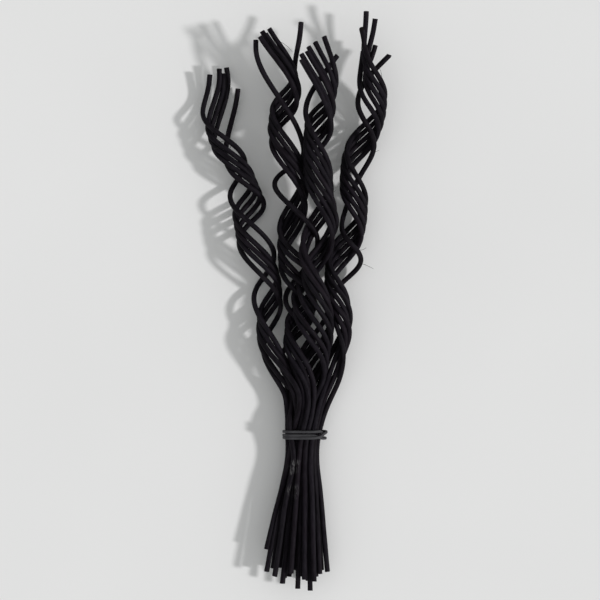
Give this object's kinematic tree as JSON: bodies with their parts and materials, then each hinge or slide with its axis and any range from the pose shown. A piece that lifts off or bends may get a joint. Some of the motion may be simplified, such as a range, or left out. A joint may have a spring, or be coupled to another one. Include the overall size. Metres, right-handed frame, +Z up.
{
  "type": "bundle of curly twigs",
  "caption": "Long bundle of black curly cane twigs lying down, coiling apart in locks above a wound rubber band, with straight stems fanning below it.",
  "frame": {"origin": "on the surface that the bundle lies on, under the middle of its bounding box", "axes": "+Y along the bundle from the cut feet to the tips, +X to the right as seen from above with the tips away, +Z up from the surface"},
  "size_m": [0.2, 0.6016, 0.0698],
  "materials": {
    "black_cane": "dyed black, faint lengthwise grain, low satin sheen, fine scuffs",
    "band_rubber": "dull dark grey rubber"
  },
  "bodies": {
    "root": {"left_twig_1": "black_cane", "left_twig_2": "black_cane", "left_twig_3": "black_cane", "left_twig_4": "black_cane", "left_twig_5": "black_cane", "rear_twig_1": "black_cane", "rear_twig_2": "black_cane", "rear_twig_3": "black_cane", "rear_twig_4": "black_cane", "rear_twig_5": "black_cane", "rear_twig_6": "black_cane", "front_twig_1": "black_cane", "front_twig_2": "black_cane", "front_twig_3": "black_cane", "front_twig_4": "black_cane", "front_twig_5": "black_cane", "front_twig_6": "black_cane", "front_twig_7": "black_cane", "right_twig_1": "black_cane", "right_twig_2": "black_cane", "right_twig_3": "black_cane", "right_twig_4": "black_cane", "right_twig_5": "black_cane", "loose_twig_1": "black_cane", "rubber_band": "band_rubber"}
  },
  "joints": []
}
